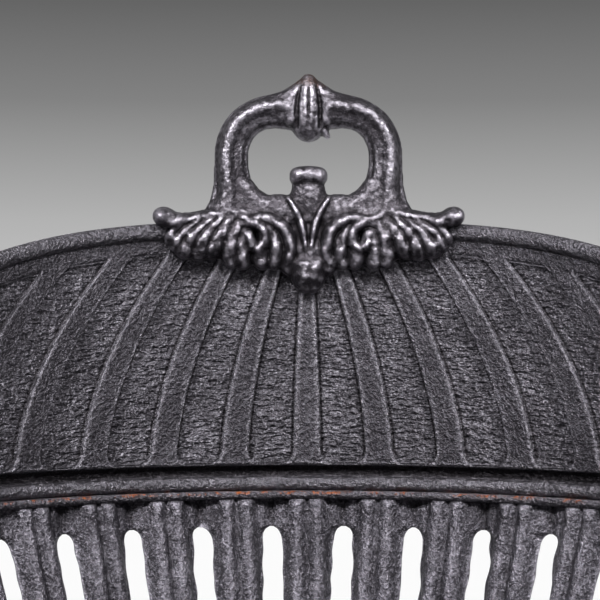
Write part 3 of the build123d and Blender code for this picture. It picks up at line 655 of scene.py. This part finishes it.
# %% Handle, boss, button and saddle
half_loop = [
    (38.6, 134, 10.6, 6.6), (37.4, 141, 10.2, 7.0), (37.0, 148, 9.3, 7.2), (37.6, 158, 8.3, 7.2),
    (36.9, 168, 8.2, 7.2), (32.6, 176.8, 8.1, 7.2), (25.4, 182.2, 8.0, 7.2), (17.4, 184.2, 8.4, 7.4),
    (9, 184.6, 9.4, 8.2), (0, 185, 10.6, 9.0),
]
ridge = [
    (39, 137, 5.6, 7.6), (39.0, 148, 5.0, 9.4), (39.8, 158, 4.6, 9.8), (39.0, 169, 4.6, 9.8),
    (34.2, 178.2, 4.6, 9.7), (26.2, 184.0, 4.6, 9.6), (17.4, 186.0, 4.8, 9.4), (11, 186.8, 5, 9.2),
]
arm_root = [(33, 147, 6.6, 6.8), (28.4, 141.6, 6.4, 6.6), (21.5, 138.2, 5.4, 6.4)]
shoulder = [(0, 198.4, 3.7, 6), (5.2, 193.6, 4.5, 7.4), (10.8, 189, 5.6, 8), (17.4, 185, 7.6, 7.4)]
boss = [(0, 174.4, 5.2, 7.4), (0, 178, 8.4, 9.4), (0, 183, 9.4, 10.2), (0, 188.6, 8.6, 10.4),
        (0, 193.4, 6.6, 9.4), (0, 197.4, 4.6, 7.2), (0, 199.2, 3.4, 5)]
broken_stub = [(7.6, 174.4, 2.2, 4.5), (9.4, 172, 1.3, 3.2)]
side_swell = [(8.6, 180.4, 4.2, 8.6), (9.4, 186.4, 4.8, 9.2), (8.4, 191, 3.6, 8)]
flute_groove = [(5.4, 176, 0.9, 1.2), (5.6, 185, 1.2, 2.4), (4.2, 195, 0.8, 1.4)]
centre_groove = [(0, 180, 0.8, 0.7), (0, 187, 1.0, 1.3), (0, 194.4, 0.8, 0.9)]
neck = [(0, 139, 10, 7), (0, 144.4, 8.4, 6.6), (0, 149, 7.8, 6.2)]
button = [(-4.7, 152.5, 4.7, 8.2), (0, 152.8, 4.9, 8.6), (4.7, 152.5, 4.7, 8.2)]
saddle = [(-42, 134.5, 8, 6), (-26, 134.0, 9.2, 6.6), (-14, 134.4, 9.4, 6.8), (0, 134.4, 8.6, 6.6),
          (14, 134.4, 9.4, 6.8), (26, 134.0, 9.2, 6.6), (42, 134.5, 8, 6)]
crest_middle = 0.7
crest_left, crest_right = -77.0, 78.0
crest_low, crest_high = 92.0, 204.5
crest_step = 0.5
crest_voxel = 0.6 * MM
print("crest", crest_right - crest_left, "by", crest_high - crest_low, "mm")

# %% [markdown]
# ## Both faces of the crest
# The strokes are laid over each other in the order that they stand proud. Grooves are cut
# last, and only where there is metal. The leaf's back lies on the fan, but the loop is
# free above the rim, so its back gets the same relief, a little flatter.

# %% Relief and faces of the crest
def mirrored(places):
    return [(-x, z, width, height) for x, z, width, height in places]


def crest_relief(x, z):
    """Front relief of the whole crest in millimetres, 0 outside its outline."""
    x = x - crest_middle
    relief = np.zeros_like(x)
    for places in leaf_bed:
        relief = soft_max(relief, stroke_relief(x, z, places), 1.0)
    for places in half_leaf:
        for fold in (places, mirrored(places)):
            relief = soft_max(relief, stroke_relief(x, z, fold), 0.9)
    relief = soft_max(relief, stroke_relief(x, z, saddle), 1.5)
    for places in (arm_root, mirrored(arm_root)):
        relief = soft_max(relief, stroke_relief(x, z, places), 2.0)
    for places in (half_loop, mirrored(half_loop)):
        relief = soft_max(relief, stroke_relief(x, z, places, 0.16), 1.2)
    for places in (ridge, mirrored(ridge)):
        relief = soft_max(relief, stroke_relief(x, z, places), 2.5)
    for places in (shoulder, mirrored(shoulder), side_swell, mirrored(side_swell), boss, broken_stub):
        relief = soft_max(relief, stroke_relief(x, z, places), 0.9)
    for places in (neck, button):
        relief = soft_max(relief, stroke_relief(x, z, places), 0.4)
    for places in (*fold_lines, curl_hollow, flute_groove):
        for line in (places, mirrored(places)):
            relief = np.where(relief > 2, relief - stroke_relief(x, z, line), relief)
    return np.where(relief > 2, relief - stroke_relief(x, z, centre_groove), relief)


def crest_face(x, z):
    """Depth of the middle of the casting: on the fan below, flat in the handle."""
    curved = axis_y + np.sqrt((shell_radius - 0.3 * MM) ** 2 - x**2)
    flat = axis_y + shell_radius - 1.2 * MM
    share = smoothstep((z - joint - 131 * MM) / (16 * MM))
    return curved + (flat - curved) * share


def crest_at(across, up):
    x = crest_left + across * (crest_right - crest_left)
    z = crest_low + up * (crest_high - crest_low)
    return x, z


def crest_front(across, up):
    x, z = crest_at(across, up)
    depth = crest_relief(x, z)
    leaf = 1 - smoothstep((z - 132) / 8)
    flat = np.stack([x, 0 * x, z], -1)
    uneven = wobble(flat, 4.6, 1.5) * leaf + wobble(flat, 9, 0.6, 4.0) + wobble(flat, 2.2, 0.35, 8.0)
    depth = (depth + uneven * np.clip(depth / 4 - 0.4, 0, 1)) * MM
    x, z = x * MM, z * MM + joint
    return np.stack([x, crest_face(x, z) - depth, z], -1)


def crest_back(across, up):
    x, z = crest_at(across, up)
    free = smoothstep((z - 127) / 8)
    depth = crest_relief(x, z) * 0.86 * free * MM
    x, z = x * MM, z * MM + joint
    return np.stack([x, crest_face(x, z) + depth, z], -1)


def crest_outside(across, up):
    return crest_relief(*crest_at(across, up)) <= 0.02


# %% [markdown]
# ## From a height field to a casting
# The two faces of the field meet at the outline. A voxel remesh turns them into one closed
# skin with even faces and rounds the meeting edge, much as wax rounds a pattern.

# %% Remeshing, and convexity for wear and painted light
def remeshed(source, voxel, smooth_rounds):
    """A closed skin of even faces round a bmesh, which is used up."""
    mesh = bpy.data.meshes.new("rough")
    source.to_mesh(mesh)
    source.free()
    holder = bpy.data.objects.new("rough", mesh)
    bpy.context.scene.collection.objects.link(holder)
    modifier = holder.modifiers.new("even", "REMESH")
    modifier.mode = "VOXEL"
    modifier.voxel_size = voxel
    modifier.adaptivity = 0
    depsgraph = bpy.context.evaluated_depsgraph_get()
    depsgraph.update()
    even = bpy.data.meshes.new_from_object(holder.evaluated_get(depsgraph))
    bpy.data.objects.remove(holder)
    bpy.data.meshes.remove(mesh)
    bm = bmesh.new()
    bm.from_mesh(even)
    bpy.data.meshes.remove(even)
    for _ in range(smooth_rounds):
        bmesh.ops.smooth_vert(bm, verts=bm.verts, factor=0.5, use_axis_x=True, use_axis_y=True,
                              use_axis_z=True)
    return bm


def mark_wear_and_shading(piece, spread):
    """Store convexity at each point: 0.5 flat, 1 edge, 0 crevice; for wear, painted highlight and painted
    shade.
    """
    mesh = piece.data
    count = len(mesh.vertices)
    places = np.empty(count * 3)
    mesh.vertices.foreach_get("co", places)
    places = places.reshape(-1, 3)
    normals = np.empty(count * 3)
    mesh.vertices.foreach_get("normal", normals)
    normals = normals.reshape(-1, 3)
    edges = np.empty(len(mesh.edges) * 2, int)
    mesh.edges.foreach_get("vertices", edges)
    first, second = edges.reshape(-1, 2).T
    run = places[second] - places[first]
    length = np.linalg.norm(run, axis=1) + 1e-9
    turn = np.einsum("ij,ij->i", normals[second] - normals[first], run) / length**2
    total = np.bincount(first, turn, count) + np.bincount(second, turn, count)
    links = np.maximum(np.bincount(first, minlength=count) + np.bincount(second, minlength=count), 1)
    bend = total / links
    for _ in range(spread):
        around = np.bincount(first, bend[second], count) + np.bincount(second, bend[first], count)
        bend = 0.5 * bend + 0.5 * around / links
    wear_and_shading = np.clip(0.5 + bend * MM, 0, 1)
    layer = mesh.attributes.new("wear_and_shading", "FLOAT", "POINT")
    layer.data.foreach_set("value", wear_and_shading.astype(np.float32))
    print(piece.name, "wear_and_shading", round(float(wear_and_shading.min()), 2), "to", round(float(wear_and_shading.max()), 2))


crest_columns = round((crest_right - crest_left) / crest_step)
crest_rows = round((crest_high - crest_low) / crest_step)
crest_sheet = cast_sheet(crest_columns, crest_rows, crest_front, crest_back, crest_outside)
crest_skin = remeshed(crest_sheet, crest_voxel, 1)
crest = finish_piece("crest_casting", [crest_skin], "crest_handle")

# %% [markdown]
# ## Castings that keep their solid's shape
# The bowed front, the bottom plate and the legs are right in the solid, but their edges
# are as sharp as a drawing. A merged copy of each is remeshed and smoothed, which rounds
# every edge and fillets every corner as sand and fettling do.

# %% Softened copies
def softened(name, node, voxel):
    """A sand-cast copy of a solid, with rounded edges."""
    bm = bmesh.new()
    bm.from_mesh(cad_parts[node].data)
    bmesh.ops.remove_doubles(bm, verts=bm.verts, dist=0.005 * MM)
    skin = remeshed(bm, voxel, 3)
    for vert in skin.verts:
        vert.co += vert.normal * (0.12 * MM * noise.noise(vert.co / (7 * MM)) - 0.05 * MM)
    return finish_piece(name, [skin], node)


gallery = softened("front_casting", "front_gallery", 1.25 * MM)
plate = softened("plate_casting", "bottom_grate", 1.5 * MM)
legs = []
for place in ("rear_left", "rear_right", "front_left", "front_right"):
    legs.append(softened("leg_casting_" + place, "leg_" + place, 0.9 * MM))
castings = [shell, grate, crest, gallery, plate, *legs]
for casting in castings:
    mark_wear_and_shading(casting, spread=1 if casting == shell else 3)

# %% [markdown]
# ## Writing shader maths as expressions
# A small class holds a socket. Adding or multiplying two of them adds the Math node, so
# the pattern of a finish reads like a formula.

# %% Sockets
class Value:
    """A socket that can be used in an expression."""

    def __init__(self, tree, socket):
        self.tree = tree
        self.socket = socket

    def maths(self, operation, *others, swap=False):
        node = self.tree.nodes.new("ShaderNodeMath")
        node.operation = operation
        terms = [self, *others]
        if swap:
            terms.reverse()
        for socket, term in zip(node.inputs, terms):
            if isinstance(term, Value):
                self.tree.links.new(term.socket, socket)
            else:
                socket.default_value = term
        return Value(self.tree, node.outputs[0])

    def __add__(self, other):
        return self.maths("ADD", other)

    __radd__ = __add__

    def __mul__(self, other):
        return self.maths("MULTIPLY", other)

    __rmul__ = __mul__

    def __sub__(self, other):
        return self.maths("SUBTRACT", other)

    def __rsub__(self, other):
        return self.maths("SUBTRACT", other, swap=True)

    def clamped(self):
        return self.maths("MINIMUM", 1.0).maths("MAXIMUM", 0.0)

    def above(self, low, high):
        """A ramp from 0 at low to 1 at high."""
        return ((self - low) * (1 / (high - low))).clamped()


class Nodes:
    """A node tree that is being written."""

    def __init__(self, tree):
        self.tree = tree

    def feed(self, socket, value):
        if isinstance(value, Value):
            self.tree.links.new(value.socket, socket)
        else:
            socket.default_value = value

    def node(self, kind, inputs=None, output=0, **settings):
        """Any node: its settings come first, then its sockets get values or links."""
        node = self.tree.nodes.new(kind)
        for key, setting in settings.items():
            setattr(node, key, setting)
        for key, value in (inputs or {}).items():
            self.feed(node.inputs[key], value)
        return Value(self.tree, node.outputs[output])

    def mixed(self, share, first, second):
        """A shader between two, by a share."""
        return self.node("ShaderNodeMixShader", {0: share, 1: first, 2: second})


class Finish(Nodes):
    """A material being written."""

    def __init__(self, name):
        self.material = bpy.data.materials.new(name)
        self.material.use_nodes = True
        super().__init__(self.material.node_tree)
        self.shader = self.tree.nodes["Principled BSDF"]
        self.place = self.node("ShaderNodeTexCoord", output="Object")

    def grain(self, size, detail=2.0, roughness=0.5):
        """Noise whose blobs are about size across."""
        inputs = {"Vector": self.place, "Scale": 1 / size, "Detail": detail, "Roughness": roughness}
        return self.node("ShaderNodeTexNoise", inputs)

    def colours(self, share, low, high):
        """A colour between two, by a share."""
        low, high = (end if isinstance(end, Value) else (*end, 1) for end in (low, high))
        share_socket, low_socket, high_socket, result = 0, 6, 7, 2
        inputs = {share_socket: share, low_socket: low, high_socket: high}
        return self.node("ShaderNodeMix", inputs, result, data_type="RGBA")

    def set(self, **values):
        for key, value in values.items():
            self.feed(self.shader.inputs[key.replace("_", " ")], value)


# %% [markdown]
# ## Burnished cast iron
# Sand leaves a coarse grain, and black grate polish covers it. A stored convexity brightens
# the high edges: partly wear from rubbing and handling, partly a painted highlight. It also
# darkens the crevices, and the flange face and the cove are darkened too: painted shade.
# Rust creeps out along the dry joint and in the bare patch on top of the boss.

# %% Iron finishes
coarse_size = 2.6 * MM
sand_size = 1.15 * MM
patch_size = 24 * MM
pit_size = 0.5 * MM
wave_size = 4.5 * MM
grain_relief = 1.7 * MM
rust_level = -0.7 * MM
rust_patch = 9 * MM
rust_speck = 1.4 * MM
bare_from = 194.5 * MM
bare_full = 199.0 * MM
# Near black for painted shade: in crevices, on the flange face and in the cove.
painted_shade_black = (0.012, 0.010, 0.012)
rib_dark = (0.020, 0.018, 0.022)
rust_orange = (0.28, 0.075, 0.020)
bare_brown = (0.075, 0.036, 0.022)


def iron(name, base=(0.040, 0.037, 0.044), shine=(0.36, 0.34, 0.39), grain_depth=1.0, rust=0.0,
         edge_wear_and_highlight=1.0, speckle=0.6, fan=False):
    """Cast iron: rust is how much the joint rusts, and fan is for the ribbed shell alone."""
    finish = Finish(name)
    wear_and_shading = finish.node("ShaderNodeAttribute", output="Fac", attribute_name="wear_and_shading")
    coarse = finish.grain(coarse_size, 2.5, 0.6)
    sand = finish.grain(sand_size, 2.0, 0.65)
    patches = finish.grain(patch_size, 3.0, 0.6)
    # Convex edges are brightened toward the shine colour: partly real wear, partly a painted highlight.
    edge = wear_and_shading.above(0.56, 0.80) * edge_wear_and_highlight
    # Crevices are darkened toward near black: painted shade.
    crevice_shade = 1 - wear_and_shading.above(0.20, 0.46)
    high = sand.above(0.46, 0.72)
    bright_metal_and_highlight = (edge * 0.8 + high * speckle + (coarse - 0.5) * 0.9 + (patches - 0.5) * 0.7).clamped()
    colour = finish.colours(bright_metal_and_highlight * 0.8, base, shine)
    colour = finish.colours(crevice_shade * 0.85, colour, painted_shade_black)
    if rust:
        level = finish.node("ShaderNodeSeparateXYZ", {"Vector": finish.place}, "Z") - joint
        # The flange face under the joint and the cove above the rail are darkened by height: painted
        # shade.
        flange_shade = level.above(-5.0 * MM, -4.0 * MM) * (1 - level.above(-0.6 * MM, 0.4 * MM))
        cove_shade = level.above(6.2 * MM, 7.6 * MM) * (1 - level.above(11.4 * MM, 12.4 * MM))
        colour = finish.colours(flange_shade * 0.6 + cove_shade * 0.8, colour, painted_shade_black)
        near_joint = 1 - (level - rust_level).maths("ABSOLUTE").above(0.3 * MM, 1.2 * MM)
        patchy = finish.grain(rust_patch, 3, 0.65) * 0.6 + finish.grain(rust_speck, 2, 0.6) * 0.4
        orange = near_joint * patchy.above(0.52, 0.60) * rust
        colour = finish.colours(orange, colour, rust_orange)
        cap = level.above(bare_from, bare_full) * patchy.above(0.38, 0.54) * 0.85
        colour = finish.colours(cap, colour, bare_brown)
        bright_metal_and_highlight = bright_metal_and_highlight * (1 - orange)
    rough = 0.41 - bright_metal_and_highlight * 0.12 + (sand - 0.5) * 0.2
    height = coarse * 0.9 + sand * 0.7 + finish.grain(pit_size, 1.0) * 0.18
    if fan:
        flat_place = {"Vector": finish.place, "Location": (0, -axis_y, 0), "Scale": (1, 1, 0)}
        from_axis = finish.node("ShaderNodeMapping", flat_place)
        reach = finish.node("ShaderNodeVectorMath", {0: from_axis}, "Value", operation="LENGTH")
        sunk = reach.above(shell_radius + 1.0 * MM, shell_radius + 2.2 * MM)
        colour = finish.colours((1 - sunk) * 0.58, colour, rib_dark)
        flattened = finish.node("ShaderNodeMapping", {"Vector": finish.place, "Scale": (1, 1, 2.6)})
        wave_inputs = {"Vector": flattened, "Scale": 1 / wave_size, "Detail": 2.5}
        height = height + finish.node("ShaderNodeTexNoise", wave_inputs) * sunk * 2.6
    relief = {"Strength": 1.0, "Distance": grain_relief * grain_depth, "Height": height}
    normal = finish.node("ShaderNodeBump", relief)
    finish.set(Base_Color=colour, Roughness=rough.clamped(), Metallic=0.85, Normal=normal)
    return finish.material


def plain_metal(name, base, shine, grain_size, roughness, metallic, depth):
    """Painted sheet or bare steel: a tint that shifts, and fine grain."""
    finish = Finish(name)
    cloud = finish.grain(grain_size * 12, 3.0, 0.6)
    fine = finish.grain(grain_size, 2.0, 0.6)
    share = (cloud.above(0.35, 0.65) * 0.55 + fine.above(0.4, 0.7) * 0.3).clamped()
    rough = roughness + (fine - 0.5) * 0.25 + (cloud - 0.5) * 0.15
    relief = {"Strength": 0.6, "Distance": depth, "Height": fine + cloud * 0.4}
    normal = finish.node("ShaderNodeBump", relief)
    finish.set(Base_Color=finish.colours(share, base, shine), Roughness=rough.clamped(),
               Metallic=metallic, Normal=normal)
    return finish.material


# %% [markdown]
# ## One finish for each piece
# The castings that were modelled here take an iron finish. The sheet and the fixings keep
# their solids, and take a finish of their own.

# %% Finishes on the pieces
shell_iron = iron("shell_iron", base=(0.058, 0.054, 0.062), shine=(0.42, 0.40, 0.45), rust=0.5, edge_wear_and_highlight=1.3,
                  fan=True)
crest_iron = iron("crest_iron", base=(0.038, 0.034, 0.040), shine=(0.50, 0.47, 0.53), grain_depth=0.4,
                  rust=0.5, edge_wear_and_highlight=0.75, speckle=0.12)
grate_iron = iron("grate_iron", rust=1.0)
plate_iron = iron("plate_iron", base=(0.045, 0.038, 0.038), shine=(0.22, 0.20, 0.21), grain_depth=1.2)
leg_iron = iron("leg_iron", grain_depth=1.1)
pan_paint = plain_metal("pan_paint", (0.020, 0.020, 0.022), (0.045, 0.043, 0.045), 1.2 * MM, 0.52, 0.3,
                        0.08 * MM)
fixing_steel = plain_metal("fixing_steel", (0.16, 0.145, 0.14), (0.33, 0.31, 0.30), 0.6 * MM, 0.42, 0.95,
                           0.05 * MM)
casting_finishes = [shell_iron, grate_iron, crest_iron, grate_iron, plate_iron, *[leg_iron] * len(legs)]
for piece, finish in zip(castings, casting_finishes):
    piece.data.materials.append(finish)
node_finishes = {
    pan_paint: ["ash_pan", "pan_runner_left", "pan_runner_right"],
    fixing_steel: ["crest_screws", "locating_pegs", "side_bolts", "side_washers", "side_nuts",
                   "ledge_screws", "runner_nuts", "pan_knob", "knob_nut"],
}
for finish, names in node_finishes.items():
    for name in names:
        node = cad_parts[name]
        node.data.materials.clear()
        node.data.materials.append(finish)
print("finishes", len(bpy.data.materials))

# %% [markdown]
# ## The floor
# The floor is a pale plane that takes the shadow. Past the object it glows paper white to
# the camera, as a lit sweep of paper does.

# %% Floor
floor_half = 5
bright_from = 0.45
bright_full = 0.9
floor_bm = bmesh.new()
bmesh.ops.create_grid(floor_bm, x_segments=1, y_segments=1, size=floor_half)
floor_mesh = bpy.data.meshes.new("floor")
floor_bm.to_mesh(floor_mesh)
floor_bm.free()
floor = bpy.data.objects.new("floor", floor_mesh)
bpy.context.scene.collection.objects.link(floor)
paper = Finish("paper")
paper.set(Base_Color=(0.80, 0.80, 0.81, 1), Roughness=0.9)
from_middle = paper.node("ShaderNodeVectorMath", {0: paper.place}, "Value", operation="LENGTH")
seen = paper.node("ShaderNodeLightPath", output="Is Camera Ray")
glow = paper.node("ShaderNodeEmission", {"Color": (0.97, 0.97, 0.97, 1)})
plain = Value(paper.tree, paper.shader.outputs[0])
lit = paper.mixed(from_middle.above(bright_from, bright_full) * seen, plain, glow)
paper.feed(paper.tree.nodes["Material Output"].inputs[0], lit)
floor_mesh.materials.append(paper.material)
print("floor", 2 * floor_half, "m wide")

# %% [markdown]
# ## The backdrop's greys
# A ramp over the angle above the horizon gives the greys. Rays that only carry light get
# the even fill instead, and rays that are mirrored in the iron get some of each.

# %% Backdrop
lowest_angle, highest_angle = -4.0, 11.0
fill_grey = (0.27, 0.27, 0.28, 1)
mirrored_share = 0.35
grey_steps = [
    (0.0, 0.96), (0.13, 0.80), (0.27, 0.60), (0.52, 0.445), (0.567, 0.402), (0.773, 0.222), (0.98, 0.127),
]
world = bpy.data.worlds.new("studio")
bpy.context.scene.world = world
world.use_nodes = True
sky = Nodes(world.node_tree)
way = sky.node("ShaderNodeTexCoord", output="Generated")
rise = sky.node("ShaderNodeSeparateXYZ", {"Vector": way}, "Z").maths("ARCSINE") * (180 / math.pi)
greys = sky.node("ShaderNodeValToRGB", {"Fac": rise.above(lowest_angle, highest_angle)})
ramp = greys.socket.node.color_ramp
ramp.elements[0].position = grey_steps[0][0]
ramp.elements[1].position = grey_steps[-1][0]
for position, _ in grey_steps[1:-1]:
    ramp.elements.new(position)
for element, (_, grey) in zip(ramp.elements, grey_steps):
    element.color = (grey, grey, grey, 1)
backdrop = sky.tree.nodes["Background"]
sky.feed(backdrop.inputs["Color"], greys)
fill = sky.node("ShaderNodeBackground", {"Color": fill_grey})
camera_ray, clear_ray, mirrored_ray = (
    sky.node("ShaderNodeLightPath", output=kind)
    for kind in ("Is Camera Ray", "Is Transmission Ray", "Is Glossy Ray")
)
shown = (camera_ray + clear_ray + mirrored_ray * mirrored_share).clamped()
chosen = sky.mixed(shown, fill, Value(sky.tree, backdrop.outputs[0]))
sky.feed(sky.tree.nodes["World Output"].inputs[0], chosen)
print("greys", len(ramp.elements))

# %% [markdown]
# ## Lamps
# Two soft boxes stand in front, left and right, above the rim.

# %% Lamps
lamp_distance = 1.5
lamp_size = 0.36
shell_middle = Vector((0, axis_y + shell_radius, joint + 0.5 * rim_top))
scene = bpy.context.scene


def soft_box(name, azimuth, elevation, power):
    """A square lamp that faces the shell, placed by its direction from there."""
    turn, lift = math.radians(azimuth), math.radians(elevation)
    way = Vector((math.sin(turn) * math.cos(lift), -math.cos(turn) * math.cos(lift), math.sin(lift)))
    lamp = bpy.data.lights.new(name, "AREA")
    lamp.shape = "SQUARE"
    lamp.size = lamp_size
    lamp.energy = power
    holder = bpy.data.objects.new(name, lamp)
    holder.location = shell_middle + way * lamp_distance
    holder.rotation_euler = way.to_track_quat("Z", "Y").to_euler()
    scene.collection.objects.link(holder)


soft_box("left_box", azimuth=-34, elevation=40, power=33)
soft_box("right_box", azimuth=32, elevation=42, power=30)
print("lamps", len(bpy.data.lights))

# %% [markdown]
# ## Camera
# The lens is given by its focal length in pixels of the frame. The horizon lies below the
# middle row, and that sets the tilt.

# %% Camera
focal_pixels = 1800
frame_pixels = 600
eye_level_row = 340
eye = Vector((-3.4 * MM, -738.5 * MM, 234.8 * MM))
lens = bpy.data.cameras.new("camera")
lens.sensor_width = 36
lens.lens = focal_pixels * lens.sensor_width / frame_pixels
camera = bpy.data.objects.new("camera", lens)
camera.location = eye
tilt = math.atan((eye_level_row - frame_pixels / 2) / focal_pixels)
camera.rotation_euler = (math.pi / 2 + tilt, 0, 0)
scene.collection.objects.link(camera)
scene.camera = camera
scene.view_settings.view_transform = "Standard"
print("lens", round(lens.lens, 1), "mm, tilt", round(math.degrees(tilt), 2), "degrees")
